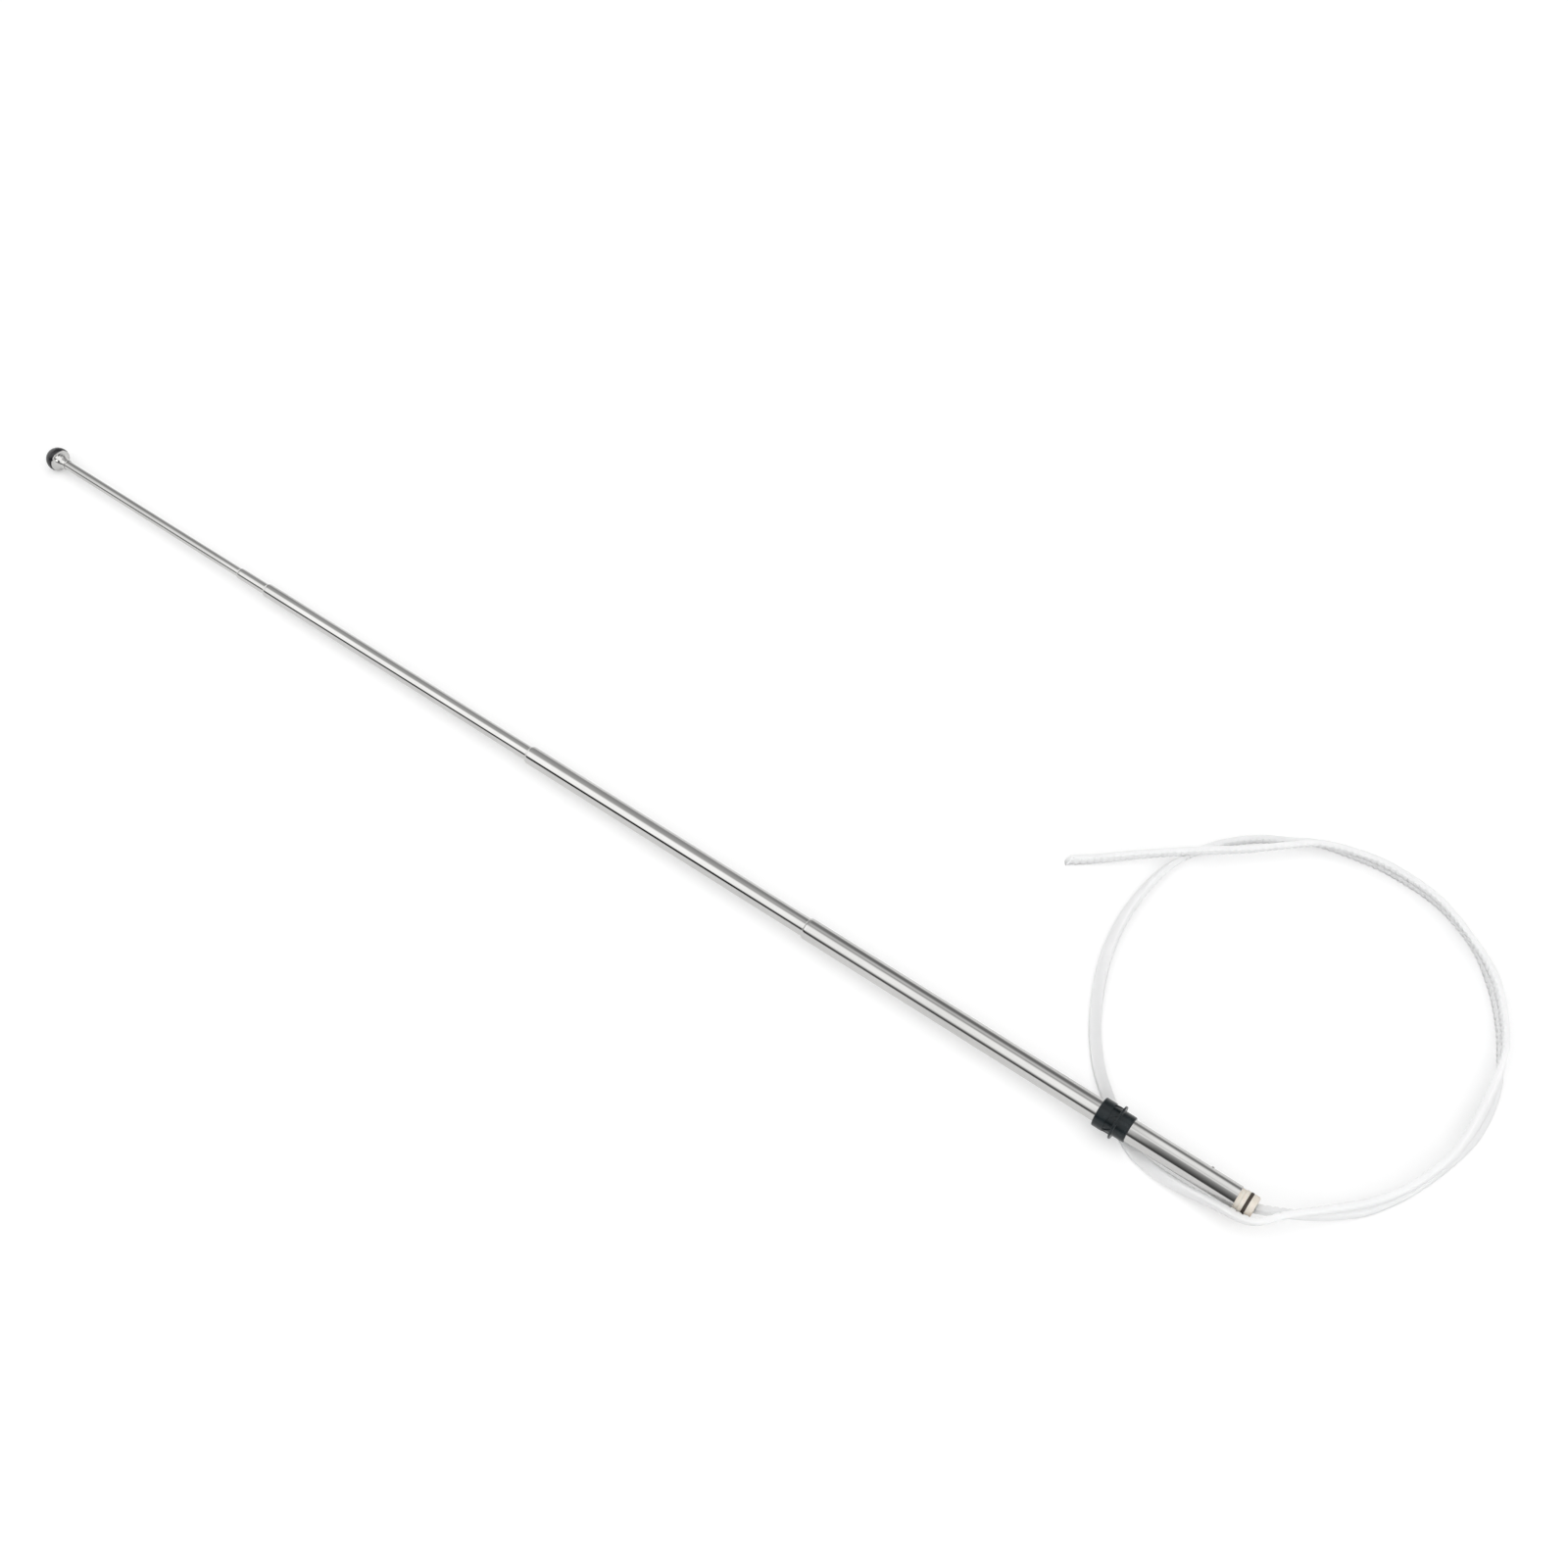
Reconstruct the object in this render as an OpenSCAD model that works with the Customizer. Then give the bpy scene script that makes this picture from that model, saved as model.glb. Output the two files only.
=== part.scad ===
// Telescoping car antenna mast with a toothed nylon drive cable, lying on a table.
// Millimetres. The mast lies along X with its tip at +X, and its base end has the cable.

/* [Base tube] */
// Outside diameter of the base tube
base_tube_d = 10.5; // [10.2:0.1:12]
// Wall of the base tube
base_tube_wall = 0.4; // [0.3:0.05:0.45]
// Length of the base tube
base_tube_len = 218.3; // [212:0.1:240]
// Distance from the base tube's lower end to its stop pip
pip_from_end = 14.4; // [10:0.1:18]
// Diameter of the stop pip
pip_d = 1.6; // [1.2:0.1:2.2]
// Height of the stop pip above the tube
pip_height = 0.4; // [0.25:0.05:0.5]
// How far the stop pip is turned from the top towards the cable's side
pip_turn = 60; // [0:5:180]

/* [Sections] */
// Outside diameter of section 4
tube_4_d = 9.1; // [8.9:0.05:9.2]
// Outside diameter of section 3
tube_3_d = 7.2; // [7:0.05:7.4]
// Outside diameter of section 2
tube_2_d = 5.8; // [5.7:0.05:5.95]
// Diameter of the top rod
rod_d = 4.8; // [4.5:0.05:4.85]
// Wall of section 4
tube_4_wall = 0.35; // [0.25:0.05:0.5]
// Wall of section 3
tube_3_wall = 0.35; // [0.25:0.05:0.4]
// Wall of section 2
tube_2_wall = 0.25; // [0.2:0.05:0.3]
// Length that a tube's rolled-in mouth takes
mouth_len = 1.6; // [1.2:0.1:2.4]
// Play between a section and the mouth that it slides in
mouth_clear = 0.1; // [0.05:0.01:0.12]

/* [Reach] */
// Greatest length of section 4 that can show
reach_4 = 175; // [150:1:178]
// Greatest length of section 3 that can show
reach_3 = 174.5; // [150:0.5:177]
// Greatest length of section 2 that can show
reach_2 = 173; // [160:1:175]
// Greatest length of the top rod that can show
reach_1 = 170; // [150:1:173]
// How far section 4 is pushed in as it lies
back_4 = 12; // [0:1:140]
// How far section 3 is pushed in as it lies
back_3 = 0; // [0:0.5:140]
// How far section 2 is pushed in as it lies
back_2 = 154; // [0:1:155]
// How far the top rod is pushed in as it lies
back_1 = 41.5; // [0:0.5:140]

/* [Feet and contact springs] */
// Length of a section's brass foot
foot_len = 6; // [5:0.5:8]
// Length of a contact spring
spring_len = 7.7; // [6:0.1:9]
// Play of a foot in the tube outside it
foot_clear = 0.08; // [0.04:0.01:0.1]
// Play of a contact spring in the tube outside it
spring_clear = 0.05; // [0.03:0.01:0.08]
// Number of fingers of a contact spring
spring_fingers = 6; // [4:1:8]
// Width of the slots between the fingers
spring_slot = 0.7; // [0.4:0.1:1]

/* [Tip] */
// Diameter of the bell's rim
bell_d = 11.6; // [11:0.1:12]
// Length of the bell
bell_len = 6; // [5:0.5:8]
// Wall of the bell's neck round the rod
bell_neck_wall = 0.4; // [0.3:0.05:0.6]
// Diameter of the domed cap
cap_d = 12.6; // [12.2:0.1:13]
// Height of the domed cap above the bell's rim
cap_height = 7.8; // [7:0.2:9]
// Diameter of the cap's stud, which the bell holds
cap_stud_d = 5; // [4:0.5:6]

/* [Guide collar] */
// Distance from the base end to the collar's rear face, as it lies
collar_at = 59; // [30:1:150]
// Length of the collar
collar_len = 15.2; // [13:0.2:20]
// Diameter of the collar's front barrel
collar_front_d = 13.5; // [13.2:0.1:14.5]
// Length of the collar's front barrel
collar_front_len = 5.2; // [4:0.1:6]
// Diameter of the collar's rear barrel
collar_rear_d = 12.1; // [11.8:0.1:12.8]
// Diameter of the collar's flange
flange_d = 15.8; // [15:0.1:17]
// Thickness of the collar's flange
flange_t = 0.9; // [0.7:0.1:1.4]
// Distance from the collar's front face to the flange
flange_from_front = 8.7; // [7.8:0.1:10]
// Depth of the pockets between the front barrel and the flange
pocket_depth = 0.7; // [0.4:0.05:0.75]
// Width of the webs between the pockets
web_w = 0.55; // [0.4:0.05:0.8]
// How far the webs' tops lie below the front barrel
web_drop = 0.3; // [0.2:0.05:0.35]
// Number of pairs of pockets round the collar
pocket_pairs = 5; // [4:1:6]
// Play of the collar on the base tube
collar_clear = 0.08; // [0.05:0.01:0.1]

/* [End bush] */
// Length of the bush outside the base tube
bush_out = 8.2; // [7.4:0.1:12]
// Length of the bush inside the base tube
bush_in = 20; // [10:1:25]
// Diameter of the bush's flange and nose
bush_d = 10.2; // [9.8:0.1:10.4]
// Diameter of the bush's neck next to the tube
bush_neck_d = 9.4; // [9:0.1:9.7]
// Length of the bush's neck
bush_neck_len = 2; // [1.6:0.1:3.5]
// Length of the bush's flange
bush_flange_len = 1.8; // [1.2:0.1:2.5]
// Length of the bush's groove
groove_len = 1.5; // [1.2:0.1:2]
// Depth of the bush's groove
groove_depth = 1; // [0.7:0.1:1.2]
// Play of the ring in the groove
ring_clear = 0.05; // [0.03:0.01:0.1]
// Play of the cable in the bush's slot
slot_clear = 0.25; // [0.2:0.05:0.35]

/* [Cable] */
// Width of the cable
cable_w = 5.4; // [5:0.1:5.6]
// Thickness of the cable over its teeth
cable_t = 2.8; // [2.6:0.1:3]
// Depth of the cable's teeth
tooth_depth = 1.1; // [0.8:0.1:1.4]
// Pitch of the cable's teeth
tooth_pitch = 3.1; // [2.8:0.1:3.6]
// Diameter of the plain stem at the cable's upper end
stem_d = 3; // [2.5:0.1:3.2]
// Length of the plain stem
stem_len = 180; // [174:1:190]
// Depth of the stem's socket in the top rod
socket_depth = 12; // [8:1:20]
// Diameter of the pin through the rod and the stem
pin_d = 1; // [0.8:0.1:1.4]

/* [Hidden] */
round_fn = 96;

// Play between pieces that are fixed to each other, and the gap left at a stop
seat_gap = 0.02;
stop_gap = 0.3;

// Inside diameters of the tubes
base_tube_id = base_tube_d - 2 * base_tube_wall;
tube_4_id = tube_4_d - 2 * tube_4_wall;
tube_3_id = tube_3_d - 2 * tube_3_wall;
tube_2_id = tube_2_d - 2 * tube_2_wall;

// Places along the mast, from the bush's end face
base_mouth = bush_out + base_tube_len;
mouth_4 = base_mouth + reach_4 - back_4;
mouth_3 = mouth_4 + reach_3 - back_3;
mouth_2 = mouth_3 + reach_2 - back_2;
bell_start = mouth_2 + reach_1 - back_1;
rim_x = bell_start + bell_len;
mast_len = rim_x + cap_height;

// A section's foot and spring reach the stop in the mouth outside it when it is right out
foot_stack = foot_len + spring_len + mouth_len + stop_gap;
bottom_4 = base_mouth - back_4 - foot_stack;
bottom_3 = mouth_4 - back_3 - foot_stack;
bottom_2 = mouth_3 - back_2 - foot_stack;
bottom_1 = mouth_2 - back_1 - foot_stack;

collar_front = collar_at + collar_len;
flange_x = collar_front - flange_from_front;
collar_bore_d = base_tube_d + 2 * collar_clear;

// The stem's end and the pin through it
stem_top = bottom_1 + socket_depth;
band_top = stem_top - stem_len;
pin_x = bottom_1 + foot_len / 2;

// The mast rests on its tip and, at the flange, on the cable that passes beneath
cable_lift = 0.1;
rest_gap = 0.3;
flange_axis_z = cable_lift + cable_t + rest_gap + flange_d / 2;
cap_centre_x = rim_x + cap_height - cap_d / 2;
lie_tilt = atan((flange_axis_z - cap_d / 2) / (cap_centre_x - flange_x));
end_axis_z = flange_axis_z + flange_x * sin(lie_tilt);
mid_x = mast_len * cos(lie_tilt) / 2;

// The free cable's route from the bush: x and y from its end face, height and roll.
// At a roll of 90 the cable stands on its edge, and at 180 it lies flat.
CABLE_ROUTE = [
    [-0.1, 0, 11.6, 90], [-6.6, -3.4, 11, 90], [-14.3, -8.4, 9.2, 90], [-22.5, -14.8, 6.8, 90],
    [-30.8, -22.5, 4.6, 90], [-39.7, -32.6, 3, 89], [-49.2, -49.1, 2.8, 90], [-56.7, -70.2, 2.9, 104],
    [-60.5, -91.3, 2.8, 124], [-59, -113, 2.9, 117], [-53.6, -129.7, 2.8, 93], [-46.1, -144.9, 2.8, 91],
    [-34.8, -160.8, 2.8, 93], [-19.3, -174.6, 2.9, 110], [2, -184.7, 2.9, 109], [27.3, -187.5, 2.9, 107],
    [46.2, -185.2, 2.9, 111], [61.7, -181.7, 2.9, 112], [71.5, -175.9, 2.9, 110], [85.1, -167.6, 2.9, 104],
    [97.1, -156.2, 2.9, 102], [105.2, -144.5, 2.9, 106], [112.3, -127.5, 2.8, 120], [115.2, -105.4, 2.7, 132],
    [113.7, -82.5, 2.4, 146], [107.9, -60.8, 2, 164], [97.9, -39.4, 1.5, 180], [86.2, -22.6, 1.5, 180],
    [72.3, -9.8, 1.5, 180], [57, 1.6, 1.6, 178], [45.5, 5.6, 2.8, 150], [32.3, 7.2, 5.2, 112],
    [16, 7.3, 9.2, 90], [-1.2, 6.8, 13.5, 80], [-12.3, -3.6, 15.8, 80], [-25, -17, 13.4, 84],
    [-38.3, -33.3, 8.7, 89], [-48.3, -49.4, 8.7, 91], [-55.7, -70.4, 8.4, 104], [-57.7, -91.4, 7.6, 124],
    [-56.8, -112.6, 8, 117], [-53.6, -129.7, 8.4, 93], [-46.3, -145, 8.4, 91], [-34.8, -160.8, 8.4, 93],
    [-18.4, -173.2, 8.2, 110], [2.4, -183.2, 8.3, 109], [27.2, -186.2, 8.3, 107], [45.8, -183.6, 8.2, 111],
    [61.1, -177.8, 8.4, 112], [73.4, -167.2, 8.4, 112], [87.2, -154.7, 8.4, 106], [104.4, -140.9, 8.7, 102],
    [123.1, -127, 6.4, 98], [140.8, -113.1, 3.6, 92], [152.6, -103.9, 2.8, 90]
];
// The bevel that makes the cable's section eight-sided
cable_edge = 0.6;

function along(k) = CABLE_ROUTE[max(0, min(len(CABLE_ROUTE) - 1, k))];
// A smooth curve through the route's points, at the share t of the stretch after point k
function smooth(k, t) =
    let (a = along(k - 1), b = along(k), c = along(k + 1), d = along(k + 2))
    0.5 * (2 * b + (c - a) * t + (2 * a - 5 * b + 4 * c - d) * t * t + (3 * b - a - 3 * c + d) * t * t * t);
function heading(k, t) =
    let (step = smooth(k, t + 0.02) - smooth(k, t - 0.02), v = [step[0], step[1], step[2]])
    v / norm(v);
function ring_points(place, ahead) =
    let (
        side = cross(ahead, [0, 0, 1]) / norm(cross(ahead, [0, 0, 1])),
        rise = cross(side, ahead),
        wide = side * cos(place[3]) + rise * sin(place[3]),
        thick = cross(ahead, wide),
        w = cable_w / 2,
        t = cable_t / 2,
        e = cable_edge
    )
    [
        for (q = [[w, t - e], [w - e, t], [e - w, t], [-w, t - e], [-w, e - t], [e - w, -t], [w - e, -t], [w, e - t]])
            [place[0], place[1], place[2]] + q[0] * wide + q[1] * thick
    ];

// Turns an outline of [place along the mast, radius] pairs about the mast's axis
module turned(outline) {
    rotate([0, 90, 0])
        rotate_extrude($fn = round_fn)
            polygon([for (p = outline) [p[1], p[0]]]);
}

// Lays a piece of the mast down as it rests
module lay_mast() {
    translate([-mid_x, 0, end_axis_z])
        rotate([0, lie_tilt, 0])
            children();
}

// A drawn tube whose mouth is rolled in round the section inside it
module drawn_tube(from, to, od, wall, inner_d) {
    mouth_r = inner_d / 2 + mouth_clear;
    drop = od / 2 - mouth_r - wall * 0.4;
    turned(concat(
        [[from, od / 2 - wall], [from, od / 2]],
        [for (a = [90:-18:0]) [to - mouth_len * (1 - cos(a)), od / 2 - drop * (1 - sin(a))]],
        [[to, mouth_r], [to - mouth_len, mouth_r], [to - mouth_len, od / 2 - wall]]
    ));
}

module foot(bottom, section_d, outer_id) {
    r_out = outer_id / 2 - foot_clear;
    r_in = section_d / 2 + seat_gap;
    lead = (r_out - r_in) / 2;
    color("goldenrod")
        lay_mast()
            turned([
                [bottom, r_in], [bottom, r_out - lead], [bottom + lead * 2, r_out],
                [bottom + foot_len, r_out], [bottom + foot_len, r_in]
            ]);
}

module contact_spring(bottom, section_d, outer_id) {
    x0 = bottom + foot_len + seat_gap;
    x1 = bottom + foot_len + spring_len;
    r_out = outer_id / 2 - spring_clear;
    r_in = section_d / 2 + seat_gap;
    r_low = r_in + (r_out - r_in) * 0.6;
    color("peru")
        lay_mast()
            difference() {
                turned([
                    [x0, r_in], [x0, r_low], [x0 + spring_len * 0.25, r_low],
                    [x0 + spring_len * 0.5, r_out], [x0 + spring_len * 0.65, r_out],
                    [x1, r_low], [x1, r_in]
                ]);
                for (k = [0:spring_fingers - 1])
                    rotate([k * 360 / spring_fingers, 0, 0])
                        translate([x0 + spring_len * 0.2, -spring_slot / 2, 0])
                            cube([spring_len, spring_slot, outer_id]);
            }
}

module tip_cap() {
    r = cap_d / 2;
    stud_r = cap_stud_d / 2;
    centre = cap_centre_x;
    // The dome starts where its sphere meets the bell's rim
    from = acos((rim_x - centre) / r);
    color([0.05, 0.05, 0.06])
        lay_mast()
            turned(concat(
                [[rim_x - bell_len * 0.3, 0], [rim_x - bell_len * 0.3, stud_r], [rim_x + seat_gap, stud_r]],
                [[rim_x + seat_gap, r * sin(from) - 0.3]],
                [for (k = [1:14]) let (a = from * (1 - k / 14)) [centre + r * cos(a), r * sin(a)]]
            ));
}

module tip_bell() {
    neck_r = rod_d / 2 + bell_neck_wall;
    rim_r = bell_d / 2;
    hole_r = cap_stud_d / 2 + seat_gap;
    hole_x = rim_x - bell_len * 0.3 - seat_gap;
    rod_r = rod_d / 2 + seat_gap;
    rod_x = bell_start + bell_len * 0.45;
    color([0.8, 0.81, 0.82])
        lay_mast()
            turned(concat(
                [[bell_start, rod_r], [bell_start, neck_r - 0.15], [bell_start + 0.3, neck_r]],
                [for (a = [0:15:90]) [
                    bell_start + 0.8 + (bell_len - 1.3) * sin(a),
                    neck_r + (rim_r - neck_r) * (1 - cos(a))
                ]],
                [[rim_x, rim_r], [rim_x, hole_r], [hole_x, hole_r], [hole_x, 0], [rod_x, 0], [rod_x, rod_r]]
            ));
}

module top_rod() {
    r = rod_d / 2;
    socket_r = stem_d / 2 + seat_gap;
    top = bell_start + bell_len * 0.45 - seat_gap;
    color([0.78, 0.79, 0.8])
        lay_mast()
            difference() {
                turned([
                    [bottom_1, socket_r], [bottom_1, r - 0.2], [bottom_1 + 0.3, r], [top - 0.2, r],
                    [top, r - 0.2], [top, 0], [stem_top + seat_gap, 0], [stem_top + seat_gap, socket_r]
                ]);
                translate([pin_x, 0, 0])
                    cylinder(h = rod_d * 2, d = pin_d + 2 * seat_gap, center = true, $fn = 32);
            }
}

module cable_pin() {
    color("silver")
        lay_mast()
            translate([pin_x, 0, 0])
                intersection() {
                    cylinder(h = rod_d, d = pin_d, center = true, $fn = 32);
                    rotate([0, 90, 0])
                        cylinder(h = rod_d, d = rod_d - 2 * seat_gap, center = true, $fn = round_fn);
                }
}

module tube_2() {
    color([0.77, 0.78, 0.79])
        lay_mast()
            drawn_tube(bottom_2, mouth_2, tube_2_d, tube_2_wall, rod_d);
}

module tube_3() {
    color([0.76, 0.77, 0.78])
        lay_mast()
            drawn_tube(bottom_3, mouth_3, tube_3_d, tube_3_wall, tube_2_d);
}

module tube_4() {
    color([0.75, 0.76, 0.77])
        lay_mast()
            drawn_tube(bottom_4, mouth_4, tube_4_d, tube_4_wall, tube_3_d);
}

module base_tube() {
    r = base_tube_d / 2;
    color([0.74, 0.75, 0.76])
        lay_mast() {
            drawn_tube(bush_out, base_mouth, base_tube_d, base_tube_wall, tube_4_d);
            // The stop pip is pressed out of the tube's wall
            rotate([pip_turn, 0, 0])
                translate([bush_out + pip_from_end, 0, r - base_tube_wall / 2])
                    cylinder(h = base_tube_wall / 2 + pip_height, d1 = pip_d, d2 = pip_d * 0.6, $fn = 24);
        }
}

module guide_collar() {
    bore_r = collar_bore_d / 2;
    front_r = collar_front_d / 2;
    rear_r = collar_rear_d / 2;
    floor_r = front_r - pocket_depth;
    ledge = collar_front - collar_front_len;
    flange_back = flange_x - flange_t;
    pocket_len = ledge - flange_x;
    web_turn = 360 / pocket_pairs;
    // A diagonal web crosses two fifths of its pair of pockets
    slant = atan(floor_r * PI * web_turn / 180 * 0.4 / pocket_len);
    color([0.13, 0.15, 0.17])
        lay_mast() {
            turned([
                [collar_at, bore_r], [collar_at, rear_r - 0.3], [collar_at + 0.3, rear_r],
                [flange_back - 0.3, rear_r], [flange_back, rear_r + 0.3],
                [flange_back, flange_d / 2 - 0.15], [flange_back + 0.15, flange_d / 2],
                [flange_x - 0.15, flange_d / 2], [flange_x, flange_d / 2 - 0.15],
                [flange_x, floor_r], [ledge, floor_r], [ledge, front_r], [collar_front - 0.3, front_r],
                [collar_front, front_r - 0.3], [collar_front, bore_r]
            ]);
            intersection() {
                turned([
                    [flange_x - 0.1, floor_r - 0.1], [flange_x - 0.1, front_r - web_drop],
                    [ledge + 0.1, front_r - web_drop], [ledge + 0.1, floor_r - 0.1]
                ]);
                union()
                    for (k = [0:pocket_pairs - 1]) {
                        rotate([k * web_turn + 20, 0, 0])
                            translate([flange_x - 1, -web_w / 2, 0])
                                cube([pocket_len + 2, web_w, front_r]);
                        rotate([k * web_turn + 20 + web_turn * 0.55, 0, 0])
                            translate([(flange_x + ledge) / 2, 0, 0])
                                rotate([0, 0, slant])
                                    translate([-collar_front_len, -web_w / 2, 0])
                                        cube([2 * collar_front_len, web_w, front_r]);
                    }
            }
        }
}

module end_bush() {
    r = bush_d / 2;
    nose_len = bush_out - bush_neck_len - bush_flange_len - groove_len;
    plug_r = base_tube_id / 2 - seat_gap;
    groove_r = r - groove_depth;
    flange_at = nose_len + groove_len;
    neck_at = flange_at + bush_flange_len;
    top = bush_out + bush_in;
    color([0.9, 0.85, 0.76])
        lay_mast()
            difference() {
                turned([
                    [0, 0], [0, r - 0.5], [0.5, r], [nose_len, r], [nose_len, groove_r],
                    [flange_at, groove_r], [flange_at, r], [neck_at - 0.2, r], [neck_at, r - 0.2],
                    [neck_at, bush_neck_d / 2], [bush_out - seat_gap, bush_neck_d / 2],
                    [bush_out - seat_gap, plug_r], [top - 0.6, plug_r], [top, plug_r - 0.6], [top, 0]
                ]);
                translate([-1, -cable_t / 2 - slot_clear, -cable_w / 2 - slot_clear])
                    cube([top + 2, cable_t + 2 * slot_clear, cable_w + 2 * slot_clear]);
            }
}

module end_ring() {
    nose_len = bush_out - bush_neck_len - bush_flange_len - groove_len;
    x0 = nose_len + ring_clear;
    x1 = nose_len + groove_len - ring_clear;
    r_in = bush_d / 2 - groove_depth + ring_clear;
    r_out = bush_d / 2 + ring_clear;
    color([0.22, 0.19, 0.17])
        lay_mast()
            turned([
                [x0, r_in], [x0, r_out - 0.25], [x0 + 0.25, r_out], [x1 - 0.25, r_out],
                [x1, r_out - 0.25], [x1, r_in]
            ]);
}

// The stretch of the cable inside the mast: a toothed band that ends in a round stem
module inner_cable() {
    teeth = floor((band_top - bush_out) / tooth_pitch);
    gap = tooth_pitch * 0.45;
    color([0.95, 0.95, 0.93])
        lay_mast() {
            difference() {
                rotate([90, 0, 0])
                    translate([0, 0, -cable_t / 2])
                        linear_extrude(height = cable_t)
                            polygon([
                                [0, -cable_w / 2], [0, cable_w / 2], [band_top - 4, cable_w / 2],
                                [band_top, stem_d / 2], [band_top, -stem_d / 2],
                                [band_top - 4, -cable_w / 2]
                            ]);
                translate([0, 0, -cable_w])
                    linear_extrude(height = 2 * cable_w)
                        for (k = [0:teeth - 3])
                            let (x = bush_out + k * tooth_pitch)
                                polygon([
                                    [x, -cable_t / 2 - 1], [x, -cable_t / 2],
                                    [x + gap * 0.25, tooth_depth - cable_t / 2],
                                    [x + gap * 0.75, tooth_depth - cable_t / 2],
                                    [x + gap, -cable_t / 2], [x + gap, -cable_t / 2 - 1]
                                ]);
            }
            difference() {
                turned([
                    [band_top - 4, 0], [band_top - 4, cable_t / 2], [band_top, stem_d / 2],
                    [stem_top, stem_d / 2], [stem_top, 0]
                ]);
                translate([pin_x, 0, 0])
                    cylinder(h = stem_d * 2, d = pin_d + 2 * seat_gap, center = true, $fn = 32);
            }
        }
}

// The free stretch of the cable: one plain band swept along its route
module drive_cable() {
    last = len(CABLE_ROUTE) - 2;
    rings = [
        for (k = [0:last])
            for (t = [0, 0.5])
                ring_points(smooth(k, t), k == 0 && t == 0 ? [-1, 0, 0] : heading(k, t)),
        ring_points(smooth(last, 1), heading(last, 0.97))
    ];
    n = len(rings);
    color([0.95, 0.95, 0.93])
        translate([-mid_x, 0, 0])
            polyhedron(
                points = [for (ring = rings, p = ring) p],
                faces = concat(
                    [[for (i = [7:-1:0]) i]],
                    [for (k = [0:n - 2], i = [0:7]) [
                        k * 8 + i, k * 8 + (i + 1) % 8, k * 8 + 8 + (i + 1) % 8, k * 8 + 8 + i
                    ]],
                    [[for (i = [0:7]) (n - 1) * 8 + i]]
                )
            );
}

tip_cap();
tip_bell();
top_rod();
tube_2();
tube_3();
tube_4();
base_tube();
foot(bottom_1, rod_d, tube_2_id);  // foot_1
foot(bottom_2, tube_2_d, tube_3_id);  // foot_2
foot(bottom_3, tube_3_d, tube_4_id);  // foot_3
foot(bottom_4, tube_4_d, base_tube_id);  // foot_4
contact_spring(bottom_1, rod_d, tube_2_id);  // spring_1
contact_spring(bottom_2, tube_2_d, tube_3_id);  // spring_2
contact_spring(bottom_3, tube_3_d, tube_4_id);  // spring_3
contact_spring(bottom_4, tube_4_d, base_tube_id);  // spring_4
guide_collar();
end_bush();
end_ring();
cable_pin();
inner_cable();
drive_cable();
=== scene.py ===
# Looks of the telescoping car antenna mast: the toothed cable, the finishes, the table and the studio light.
import math

import bpy
import numpy as np
from mathutils import Matrix, Vector


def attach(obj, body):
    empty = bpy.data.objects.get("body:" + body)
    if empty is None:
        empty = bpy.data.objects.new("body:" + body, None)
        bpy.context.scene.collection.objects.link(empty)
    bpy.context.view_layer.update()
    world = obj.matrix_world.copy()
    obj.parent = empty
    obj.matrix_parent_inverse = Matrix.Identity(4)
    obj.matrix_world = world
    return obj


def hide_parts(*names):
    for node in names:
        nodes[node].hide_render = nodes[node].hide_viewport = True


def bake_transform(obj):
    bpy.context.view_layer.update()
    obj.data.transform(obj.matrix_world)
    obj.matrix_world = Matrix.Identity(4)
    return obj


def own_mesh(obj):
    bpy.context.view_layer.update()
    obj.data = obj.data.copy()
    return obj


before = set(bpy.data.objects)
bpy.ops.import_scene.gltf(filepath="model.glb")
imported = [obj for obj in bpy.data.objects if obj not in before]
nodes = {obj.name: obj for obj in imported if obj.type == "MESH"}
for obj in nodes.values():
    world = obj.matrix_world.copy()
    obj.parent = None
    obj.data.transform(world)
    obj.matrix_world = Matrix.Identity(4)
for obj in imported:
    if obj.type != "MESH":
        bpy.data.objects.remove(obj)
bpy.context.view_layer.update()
scene = bpy.context.scene

MM_PER_M = 1000


def metres(at):
    """A place in the part, given in mm."""
    return tuple(np.asarray(at) / MM_PER_M)


# The camera stands where the fit to the photo's mast and cable puts it
CAMERA_PLACE = (-0.376317, 0.356171, 0.757915)
LENS, SENSOR = 43.875, 36
CLIP = (0.01, 50)
CAMERA_RIGHT = Vector((-0.80953, -0.587048, 0.006015)).normalized()
CAMERA_BACK = Vector((-0.325556, 0.457418, 0.827516)).normalized()


def add_camera():
    camera = bpy.data.objects.new("Camera", bpy.data.cameras.new("Camera"))
    scene.collection.objects.link(camera)
    camera.data.lens = LENS
    camera.data.sensor_width = SENSOR
    camera.data.clip_start, camera.data.clip_end = CLIP
    up = CAMERA_BACK.cross(CAMERA_RIGHT).normalized()
    right = up.cross(CAMERA_BACK)
    turn = Matrix((right, up, CAMERA_BACK)).transposed().to_4x4()
    camera.matrix_world = Matrix.Translation(CAMERA_PLACE) @ turn
    scene.camera = camera


add_camera()


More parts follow.
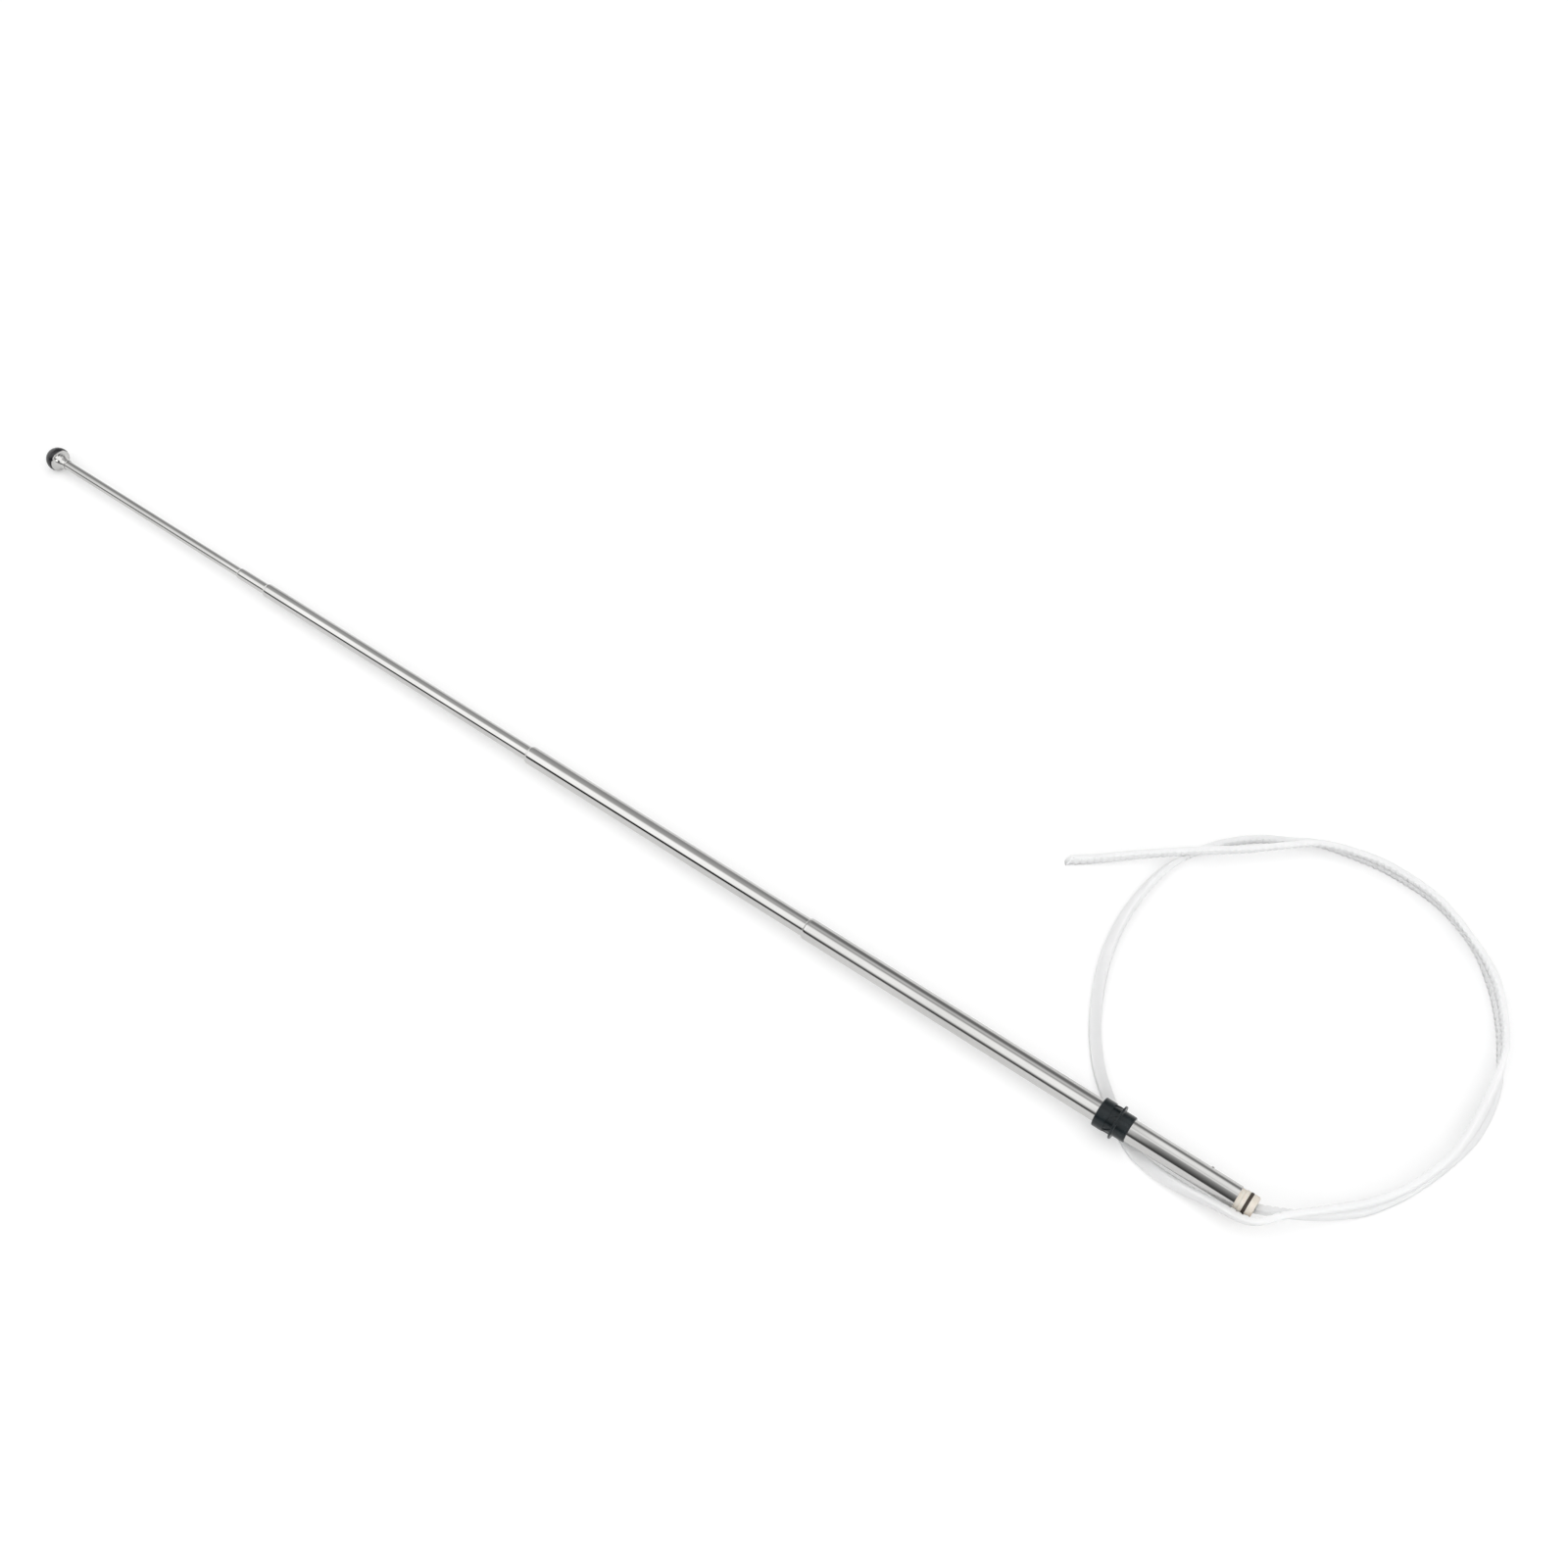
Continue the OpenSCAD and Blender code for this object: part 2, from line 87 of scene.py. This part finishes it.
class Tree:
    """A new material and short calls that add and join its nodes."""

    def __init__(self, name, **values):
        self.mat = bpy.data.materials.new(name)
        self.mat.use_nodes = True
        self.t = self.mat.node_tree
        self.t.nodes.clear()
        self.out = self.add("OutputMaterial")
        self.bsdf = self.add("BsdfPrincipled")
        self.link(self.bsdf.outputs[0], self.out.inputs[0])
        for key, value in values.items():
            self.bsdf.inputs[key.replace("_", " ")].default_value = value

    def add(self, kind):
        return self.t.nodes.new("ShaderNode" + kind)

    def link(self, a, b):
        self.t.links.new(a, b)

    def noise(self, scale, detail=4, rough=0.5, distort=0.0):
        n = self.add("TexNoise")
        n.inputs["Scale"].default_value = 1
        n.inputs["Detail"].default_value = detail
        n.inputs["Roughness"].default_value = rough
        n.inputs["Distortion"].default_value = distort
        m = self.add("Mapping")
        m.inputs["Scale"].default_value = scale if isinstance(scale, tuple) else (scale,) * 3
        self.link(self.add("TexCoord").outputs["Object"], m.inputs["Vector"])
        self.link(m.outputs[0], n.inputs["Vector"])
        return n.outputs["Fac"]

    def spread(self, source, low, high, to_low=0.0, to_high=1.0):
        m = self.add("MapRange")
        for key, value in (("From Min", low), ("From Max", high), ("To Min", to_low), ("To Max", to_high)):
            m.inputs[key].default_value = value
        self.link(source, m.inputs["Value"])
        return m.outputs[0]

    def colour(self, cloud, low, high, first, second):
        """The base colour goes from the first to the second as the cloud goes from low to high."""
        m = self.add("Mix")
        m.data_type = "RGBA"
        self.link(self.spread(cloud, low, high), m.inputs[0])
        m.inputs[6].default_value = (*first, 1)
        m.inputs[7].default_value = (*second, 1)
        self.link(m.outputs[2], self.bsdf.inputs["Base Color"])

    def rough(self, source):
        self.link(source, self.bsdf.inputs["Roughness"])

    def bump(self, height, strength, distance):
        b = self.add("Bump")
        b.inputs["Strength"].default_value = strength
        b.inputs["Distance"].default_value = distance
        self.link(height, b.inputs["Height"])
        self.link(b.outputs[0], self.bsdf.inputs["Normal"])


def chrome_plate():
    """Bright plate with faint drawing lines along the mast and slightly duller smears."""
    t = Tree("chrome", Metallic=1.0, IOR=2.4)
    smear = t.noise((35, 90, 90), 5, 0.6, 0.4)
    drawn = t.noise((14, 2600, 2600), 3, 0.6)
    t.colour(smear, 0.35, 0.7, (0.57, 0.566, 0.557), (0.51, 0.507, 0.498))
    t.rough(t.spread(smear, 0.3, 0.75, 0.03, 0.075))
    t.bump(drawn, 0.035, 0.00006)
    return t.mat


def tip_plastic():
    t = Tree("tip_plastic", Coat_Weight=0.15, Coat_Roughness=0.06, IOR=1.5, Specular_IOR_Level=0.3)
    cloud = t.noise(420, 4, 0.55)
    t.colour(cloud, 0.35, 0.7, (0.010, 0.010, 0.012), (0.022, 0.022, 0.025))
    t.rough(t.spread(cloud, 0.3, 0.7, 0.14, 0.26))
    t.bump(t.noise(1500, 2), 0.06, 0.00004)
    return t.mat


def collar_plastic():
    t = Tree("collar_plastic", IOR=1.52, Specular_IOR_Level=0.3)
    cloud = t.noise((260, 420, 420), 4, 0.55)
    t.colour(cloud, 0.3, 0.72, (0.005, 0.009, 0.011), (0.012, 0.018, 0.021))
    t.rough(t.spread(cloud, 0.3, 0.7, 0.20, 0.30))
    t.bump(t.noise(2600, 3, 0.6), 0.16, 0.00008)
    return t.mat


def bush_plastic():
    t = Tree("bush_plastic", IOR=1.5, Subsurface_Weight=0.15, Subsurface_Scale=0.002)
    t.bsdf.inputs["Subsurface Radius"].default_value = (1.0, 0.6, 0.4)
    cloud = t.noise((300, 500, 500), 4, 0.6)
    t.colour(cloud, 0.3, 0.7, (0.80, 0.745, 0.665), (0.72, 0.655, 0.57))
    t.rough(t.spread(cloud, 0.3, 0.7, 0.36, 0.55))
    t.bump(t.noise(1800, 3), 0.12, 0.00008)
    return t.mat


def ring_rubber():
    t = Tree("ring_rubber", IOR=1.45)
    cloud = t.noise(900, 4, 0.6)
    t.colour(cloud, 0.3, 0.7, (0.036, 0.026, 0.020), (0.070, 0.054, 0.042))
    t.rough(t.spread(cloud, 0.3, 0.7, 0.6, 0.8))
    t.bump(t.noise(3200, 3), 0.25, 0.0001)
    return t.mat


def cable_nylon():
    """White nylon that light goes deep into, which evens out its faces."""
    t = Tree("cable_nylon", IOR=1.53, Specular_IOR_Level=0.25, Subsurface_Weight=1.0, Subsurface_Scale=0.008)
    t.bsdf.inputs["Subsurface Radius"].default_value = (1.0, 1.0, 1.0)
    cloud = t.noise(60, 4, 0.55)
    t.colour(cloud, 0.3, 0.7, (0.855, 0.86, 0.865), (0.83, 0.835, 0.84))
    t.rough(t.spread(cloud, 0.3, 0.7, 0.5, 0.62))
    t.bump(t.noise(1400, 3, 0.55), 0.1, 0.00008)
    return t.mat


def turned_metal(name, light, dark, low, high, scale):
    """Bare metal of the inner parts, with fine turning marks."""
    t = Tree(name, Metallic=1.0)
    cloud = t.noise(scale, 4, 0.6)
    t.colour(cloud, 0.3, 0.7, light, dark)
    t.rough(t.spread(cloud, 0.3, 0.7, low, high))
    t.bump(t.noise((2400, 300, 300), 3), 0.08, 0.00006)
    return t.mat


def dress(mat, *names):
    for name in names:
        o = nodes[name]
        if not o.material_slots:
            o.data.materials.append(mat)
        for s in o.material_slots:
            s.link = "OBJECT"
            s.material = mat


NYLON = cable_nylon()
dress(chrome_plate(), "tip_bell", "top_rod", "tube_2", "tube_3", "tube_4", "base_tube")
dress(tip_plastic(), "tip_cap")
dress(collar_plastic(), "guide_collar")
dress(bush_plastic(), "end_bush")
dress(ring_rubber(), "end_ring")
dress(
    turned_metal("foot_brass", (0.72, 0.55, 0.26), (0.58, 0.42, 0.18), 0.25, 0.42, 700),
    "foot_1", "foot_2", "foot_3", "foot_4",
)
dress(
    turned_metal("spring_bronze", (0.66, 0.42, 0.24), (0.52, 0.31, 0.17), 0.28, 0.45, 900),
    "spring_1", "spring_2", "spring_3", "spring_4",
)
dress(turned_metal("pin_steel", (0.6, 0.6, 0.6), (0.48, 0.48, 0.49), 0.3, 0.45, 900), "cable_pin")


# The cable's band, in mm: its teeth stand on one broad face
WIDE, THICK, TOOTH, PITCH = 5.4, 2.8, 0.35, 3.1
BACK_ROUND, FACE_ROUND = 0.8, 0.3
# Where a tooth's top, its flanks and the gap after it begin, as shares of the pitch
TOOTH_STEPS = ((0.0, 0), (0.5, 0), (0.64, 1), (0.86, 1))
# No ring lies closer than this to the ends of a row of teeth
CLEAR_OF_END = 0.05
# How much shorter the far edge of the bare end is, as it is cut at a slant
SLANT = 3.2
SHARP_FROM = math.radians(62)


def arc(cx, cy, r, start, stop, n=3):
    turns = (math.radians(start + (stop - start) * k / n) for k in range(n + 1))
    return [(cx + r * math.cos(a), cy + r * math.sin(a)) for a in turns]


def band_ring(cut):
    """Sixteen points round the band, from its smooth back to its toothed face, in mm."""
    w, h = WIDE / 2, THICK / 2
    face = -h + TOOTH * cut
    return (
        arc(w - BACK_ROUND, h - BACK_ROUND, BACK_ROUND, 0, 90)
        + arc(BACK_ROUND - w, h - BACK_ROUND, BACK_ROUND, 90, 180)
        + arc(FACE_ROUND - w, face + FACE_ROUND, FACE_ROUND, 180, 270)
        + arc(w - FACE_ROUND, face + FACE_ROUND, FACE_ROUND, 270, 360)
    )


def round_ring(r):
    """The same number of points on a circle, so that the band can run into its stem."""
    around = [(math.degrees(math.atan2(y, x)) + 360) % 360 for x, y in band_ring(0)]
    return [(r * math.cos(math.radians(a)), r * math.sin(math.radians(a))) for a in around]


def lofted(name, rings):
    """A closed smooth-shaded mesh through rings of equal count, in mm in the row frame."""
    count = len(rings[0])
    points = np.concatenate([np.asarray(r, float) for r in rings]) / MM_PER_M
    faces = [tuple(reversed(range(count)))]
    for k in range(len(rings) - 1):
        a, b = k * count, (k + 1) * count
        faces += [(a + i, a + (i + 1) % count, b + (i + 1) % count, b + i) for i in range(count)]
    faces.append(tuple(range((len(rings) - 1) * count, len(rings) * count)))
    mesh = bpy.data.meshes.new(name)
    mesh.from_pydata([tuple(p) for p in points], [], faces)
    mesh.validate()
    mesh.update()
    mesh.shade_smooth()
    mesh.set_sharp_from_angle(angle=SHARP_FROM)
    mesh.materials.append(NYLON)
    o = bpy.data.objects.new(name, mesh)
    scene.collection.objects.link(o)
    return o


def steps_between(start, stop, origin):
    """Where rings go between two places along a band, each with 0 on a tooth or 1 in a gap."""
    found = []
    k = math.floor((start - origin) / PITCH) - 1
    while origin + k * PITCH < stop + PITCH:
        found += [(origin + (k + share) * PITCH, cut) for share, cut in TOOTH_STEPS]
        k += 1
    return [(s, cut) for s, cut in found if start + CLEAR_OF_END < s < stop - CLEAR_OF_END]


# The free cable's x and y from the bush's end face, height and roll, as the CAD has them, in mm and degrees
MID_X = 362.640
ROUTE = np.array([
    (-0.1, 0, 11.6, 90), (-6.6, -3.4, 11, 90), (-14.3, -8.4, 9.2, 90), (-22.5, -14.8, 6.8, 90),
    (-30.8, -22.5, 4.6, 90), (-39.7, -32.6, 3, 89), (-49.2, -49.1, 2.8, 90), (-56.7, -70.2, 2.9, 104),
    (-60.5, -91.3, 2.8, 124), (-59, -113, 2.9, 117), (-53.6, -129.7, 2.8, 93), (-46.1, -144.9, 2.8, 91),
    (-34.8, -160.8, 2.8, 93), (-19.3, -174.6, 2.9, 110), (2, -184.7, 2.9, 109), (27.3, -187.5, 2.9, 107),
    (46.2, -185.2, 2.9, 111), (61.7, -181.7, 2.9, 112), (71.5, -175.9, 2.9, 110), (85.1, -167.6, 2.9, 104),
    (97.1, -156.2, 2.9, 102), (105.2, -144.5, 2.9, 106), (112.3, -127.5, 2.8, 120), (115.2, -105.4, 2.7, 132),
    (113.7, -82.5, 2.4, 146), (107.9, -60.8, 2, 164), (97.9, -39.4, 1.5, 180), (86.2, -22.6, 1.5, 180),
    (72.3, -9.8, 1.5, 180), (57, 1.6, 1.6, 178), (45.5, 5.6, 2.8, 150), (32.3, 7.2, 5.2, 112),
    (16, 7.3, 9.2, 90), (-1.2, 6.8, 13.5, 80), (-12.3, -3.6, 15.8, 80), (-25, -17, 13.4, 84),
    (-38.3, -33.3, 8.7, 89), (-48.3, -49.4, 8.7, 91), (-55.7, -70.4, 8.4, 104), (-57.7, -91.4, 7.6, 124),
    (-56.8, -112.6, 8, 117), (-53.6, -129.7, 8.4, 93), (-46.3, -145, 8.4, 91), (-34.8, -160.8, 8.4, 93),
    (-18.4, -173.2, 8.2, 110), (2.4, -183.2, 8.3, 109), (27.2, -186.2, 8.3, 107), (45.8, -183.6, 8.2, 111),
    (61.1, -177.8, 8.4, 112), (73.4, -167.2, 8.4, 112), (87.2, -154.7, 8.4, 106), (104.4, -140.9, 8.7, 102),
    (123.1, -127, 6.4, 98), (140.8, -113.1, 3.6, 92), (152.6, -103.9, 2.8, 90),
], float)
POINTS_PER_STRETCH = 60
FREE_TOOTH_ORIGIN = 1.0


def curve_through(points, per):
    """A smooth curve through the points, the same as the CAD's."""
    last = len(points) - 1
    found = []
    for k in range(last):
        a, b, c, d = (points[min(max(i, 0), last)] for i in (k - 1, k, k + 1, k + 2))
        for t in np.arange(per) / per:
            bent = (2 * a - 5 * b + 4 * c - d) * t**2 + (3 * b - a - 3 * c + d) * t**3
            found.append(0.5 * (2 * b + (c - a) * t + bent))
    return np.array(found + [points[-1]])


def free_cable():
    line = curve_through(ROUTE, POINTS_PER_STRETCH)
    line[:, 0] -= MID_X
    run = np.r_[0, np.cumsum(np.linalg.norm(np.diff(line[:, :3], axis=0), axis=1))]
    length = run[-1]
    ahead = np.gradient(line[:, :3], axis=0)
    rings, path = [], []
    for s, cut in [(0.0, 0)] + steps_between(0, length - SLANT, FREE_TOOTH_ORIGIN) + [(length, 0)]:
        at = np.array([np.interp(s, run, line[:, i]) for i in range(4)])
        d = np.array([np.interp(s, run, ahead[:, i]) for i in range(3)])
        if s == 0:
            d = np.array([-1.0, 0, 0])  # square to the bush's end face
        d /= np.linalg.norm(d)
        side = np.cross(d, (0, 0, 1))
        side /= np.linalg.norm(side)
        rise = np.cross(side, d)
        roll = math.radians(at[3])
        wide = side * math.cos(roll) + rise * math.sin(roll)
        thick = np.cross(d, wide)
        ring = np.array([at[:3] + x * wide + y * thick for x, y in band_ring(cut)])
        if s == length:
            slant = np.array([(x / WIDE + 0.5) * SLANT for x, _ in band_ring(0)])
            ring = ring - slant[:, None] * d
        rings.append(ring)
        path.append(metres(at[:3]))
    o = lofted("nylon_cable", rings)
    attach(o, "base")
    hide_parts("drive_cable")


free_cable()


# The cable inside the mast, in mm along the mast's axis from the bush's end face
TILT = math.radians(0.42083366)
ALONG = np.array([math.cos(TILT), 0, -math.sin(TILT)])
UPWARD = np.array([math.sin(TILT), 0, math.cos(TILT)])
ACROSS = np.array([0, 1.0, 0])
BUSH_END = np.array([-MID_X, 0, 11.581])
# The toothed band narrows to a round stem before this place
BAND_TOP, NARROWING, STEM_R = 357.9, 4, 1.5
INNER_TOOTH_ORIGIN = 8.2


def on_mast(x):
    return BUSH_END + ALONG * x


def cable_stretch(name, start, stop, body, joint=None, next_body=None):
    """A stretch that rides its section, with a mesh of its own where a joint is given, or that reaches from
    one section to the next."""
    narrows = BAND_TOP - NARROWING
    steps = [(start, 0)]
    if start < narrows:
        steps += steps_between(start, min(stop, narrows), INNER_TOOTH_ORIGIN)
    steps += [(x, 0) for x in (narrows, BAND_TOP) if start < x < stop]
    steps += [(stop, 0)]
    rings = []
    for x, cut in steps:
        ring = round_ring(STEM_R) if x >= BAND_TOP else band_ring(cut)
        rings.append(np.array([on_mast(x) + a * UPWARD + b * ACROSS for a, b in ring])[::-1])
    o = lofted(name, rings)
    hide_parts("inner_cable")
    if next_body:
        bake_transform(o)
        return
    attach(o, body)
    if joint:
        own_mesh(o)


# Where the stretches begin, at the sections' lower ends, and where the stem ends
IN_BASE, IN_4, IN_3, IN_2, IN_ROD, STEM_END = 0.05, 198.9, 373.9, 394.4, 525.9, 537.9
cable_stretch("cable_in_base", IN_BASE, IN_4, "base", "section_4_slide")
cable_stretch("cable_in_section_4", IN_4, IN_3, "section_4", "section_3_slide")
cable_stretch("cable_in_section_3", IN_3, IN_2, "section_3", next_body="section_2")
cable_stretch("cable_in_section_2", IN_2, IN_ROD, "section_2", "section_1_slide")
cable_stretch("cable_in_rod", IN_ROD, STEM_END, "section_1")


# Half the table's side and its height, in m: the band dips below zero by a hair, and so does the table
TABLE_HALF, TABLE_Z = 6, -0.00012
# What is added to the table's white where it is seen
TABLE_LIFT = 0.33


def table_white():
    """White to whatever looks at it or mirrors it, and plain grey-white to the light it sends on."""
    t = Tree("table_white", Base_Color=(0.70, 0.70, 0.70, 1), Roughness=0.8)

    def mixed(share, a, b):
        m = t.add("MixShader")
        for source, socket in zip((share, a, b), m.inputs):
            t.link(source, socket)
        return m.outputs[0]

    lift = t.add("Emission")
    lift.inputs["Color"].default_value = (1, 1, 1, 1)
    lift.inputs["Strength"].default_value = TABLE_LIFT
    lifted = t.add("AddShader")
    t.link(t.bsdf.outputs[0], lifted.inputs[0])
    t.link(lift.outputs[0], lifted.inputs[1])
    rays = t.add("LightPath")
    looking = rays.outputs["Is Camera Ray"]
    for kind in ("Is Glossy Ray", "Is Transmission Ray"):
        more = t.add("Math")
        more.operation = "MAXIMUM"
        t.link(looking, more.inputs[0])
        t.link(rays.outputs[kind], more.inputs[1])
        looking = more.outputs[0]
    seen = mixed(looking, t.bsdf.outputs[0], lifted.outputs[0])
    # From below the table isn't there
    below = t.add("NewGeometry").outputs["Backfacing"]
    t.link(mixed(below, seen, t.add("BsdfTransparent").outputs[0]), t.out.inputs[0])
    return t.mat


def add_table():
    h = TABLE_HALF
    mesh = bpy.data.meshes.new("table_top")
    mesh.from_pydata([(-h, -h, 0), (h, -h, 0), (h, h, 0), (-h, h, 0)], [], [(0, 1, 2, 3)])
    mesh.materials.append(table_white())
    floor = bpy.data.objects.new("table_top", mesh)
    floor.location.z = TABLE_Z
    scene.collection.objects.link(floor)


add_table()


class Sky:
    """The studio round the part, as levels of grey over the directions that its metal mirrors."""

    def __init__(self):
        world = bpy.data.worlds.new("Studio")
        scene.world = world
        world.use_nodes = True
        self.t = world.node_tree
        self.t.nodes.clear()
        self.parts = self.add("SeparateXYZ")
        self.link(self.add("TexCoord").outputs["Generated"], self.parts.inputs[0])
        turn = self.add("Math")
        turn.operation = "ARCTAN2"
        self.link(self.parts.outputs["Z"], turn.inputs[0])
        self.link(self.parts.outputs["Y"], turn.inputs[1])
        over = self.add("Math")
        over.operation = "DIVIDE"
        over.inputs[1].default_value = math.pi
        self.link(turn.outputs[0], over.inputs[0])
        self.share = over.outputs[0]

    def add(self, kind):
        return self.t.nodes.new("ShaderNode" + kind)

    def link(self, a, b):
        self.t.links.new(a, b)

    def bands(self, *stops):
        """Levels of grey from the near horizon over the top to the far one."""
        ramp = self.add("ValToRGB")
        elements = ramp.color_ramp.elements
        elements[0].position, elements[1].position = stops[0][0], stops[-1][0]
        for element, (_, level) in zip(elements, (stops[0], stops[-1])):
            element.color = (level, level, level, 1)
        for where, level in stops[1:-1]:
            elements.new(where).color = (level, level, level, 1)
        self.link(self.share, ramp.inputs[0])
        return ramp.outputs[0]

    def past(self, start, full, before, after, way="X"):
        """One look gives way to another, or to a plain level, as one part of the direction goes on."""
        place = self.add("MapRange")
        place.inputs["From Min"].default_value = start
        place.inputs["From Max"].default_value = full
        self.link(self.parts.outputs[way], place.inputs["Value"])
        m = self.add("Mix")
        m.data_type = "RGBA"
        self.link(place.outputs[0], m.inputs[0])
        self.link(before, m.inputs[6])
        if isinstance(after, float):
            m.inputs[7].default_value = (after, after, after, 1)
        else:
            self.link(after, m.inputs[7])
        return m.outputs[2]

    def light(self, look, strength):
        studio = self.add("Background")
        studio.inputs["Strength"].default_value = strength
        self.link(look, studio.inputs[0])
        self.link(studio.outputs[0], self.add("OutputWorld").inputs[0])


def add_sky():
    sky = Sky()
    # A dark strip, the white sheet, then a paler one behind a thin gap and greys
    along = sky.bands(
        (0.0, 0.10), (0.077, 0.08), (0.14, 0.26), (0.19, 1.0), (0.24, 1.6), (0.47, 1.65), (0.51, 1.25),
        (0.55, 0.62), (0.585, 0.72), (0.64, 1.0), (0.68, 0.85), (0.76, 0.30), (0.83, 0.24), (0.91, 0.42),
        (1.0, 0.60),
    )
    # Past the sheet's end, where the mast's base mirrors, it is darker below and brighter above
    beyond = sky.bands(
        (0.0, 0.10), (0.077, 0.08), (0.145, 0.12), (0.21, 0.20), (0.27, 0.29), (0.34, 0.42), (0.40, 0.60),
        (0.44, 1.1), (0.47, 1.4), (0.52, 1.05), (0.56, 1.45), (0.71, 1.5), (0.76, 1.0), (0.82, 0.35),
        (0.86, 0.30), (0.92, 0.50), (1.0, 0.60),
    )
    # Towards the tip the strip is black and the greys are even
    towards = sky.bands(
        (0.0, 0.0), (0.145, 0.0), (0.175, 0.9), (0.205, 1.8), (0.47, 1.85), (0.52, 1.25), (0.56, 0.74),
        (0.66, 0.62), (0.83, 0.48), (1.0, 0.60),
    )
    # At the tip the sheet fades and the strip is wider
    faded = sky.bands(
        (0.0, 0.0), (0.155, 0.0), (0.185, 0.9), (0.22, 1.35), (0.46, 1.35), (0.51, 0.9), (0.56, 0.58),
        (0.66, 0.48), (0.83, 0.40), (1.0, 0.50),
    )
    # The side that the bell mirrors has its own dark gap and white sheet
    behind = sky.bands(
        (0.0, 0.9), (0.06, 0.9), (0.10, 0.12), (0.26, 0.12), (0.31, 1.75), (0.60, 1.75), (0.66, 0.25),
        (0.80, 0.25), (0.88, 0.9), (1.0, 0.9),
    )
    look = sky.past(0.085, 0.125, beyond, along)
    look = sky.past(0.26, 0.34, look, towards)
    look = sky.past(0.57, 0.63, look, faded)
    look = sky.past(-0.04, -0.16, look, behind)
    # A thin grey gap that the mouths mirror as a ring, and a white wall past it
    look = sky.past(0.67, 0.71, look, 0.30)
    look = sky.past(0.75, 0.80, look, 1.9)
    # The backdrop is white up to seven and a half degrees above the table
    look = sky.past(0.155, 0.13, look, 1.1, way="Z")
    sky.light(look, 0.9)


add_sky()

LAMP_SIZE = (1.2, 0.8)
LAMP_AIM = Vector((-0.15, -0.03, 0))
# The key lamp stands behind the mast, and the fill lamp on the camera's side: power and place
LAMPS = {"Key": (0.8, (-1.0, -0.9, 1.35)), "Fill": (6.5, (-1.25, 1.2, 0.9))}


def add_lamps():
    for name, (energy, place) in LAMPS.items():
        lamp = bpy.data.lights.new(name, "AREA")
        lamp.shape = "RECTANGLE"
        lamp.size, lamp.size_y = LAMP_SIZE
        lamp.energy = energy
        o = bpy.data.objects.new(name, lamp)
        o.location = place
        o.rotation_euler = (LAMP_AIM - o.location).to_track_quat("-Z", "Y").to_euler()
        scene.collection.objects.link(o)


add_lamps()

scene.view_settings.view_transform = "Standard"
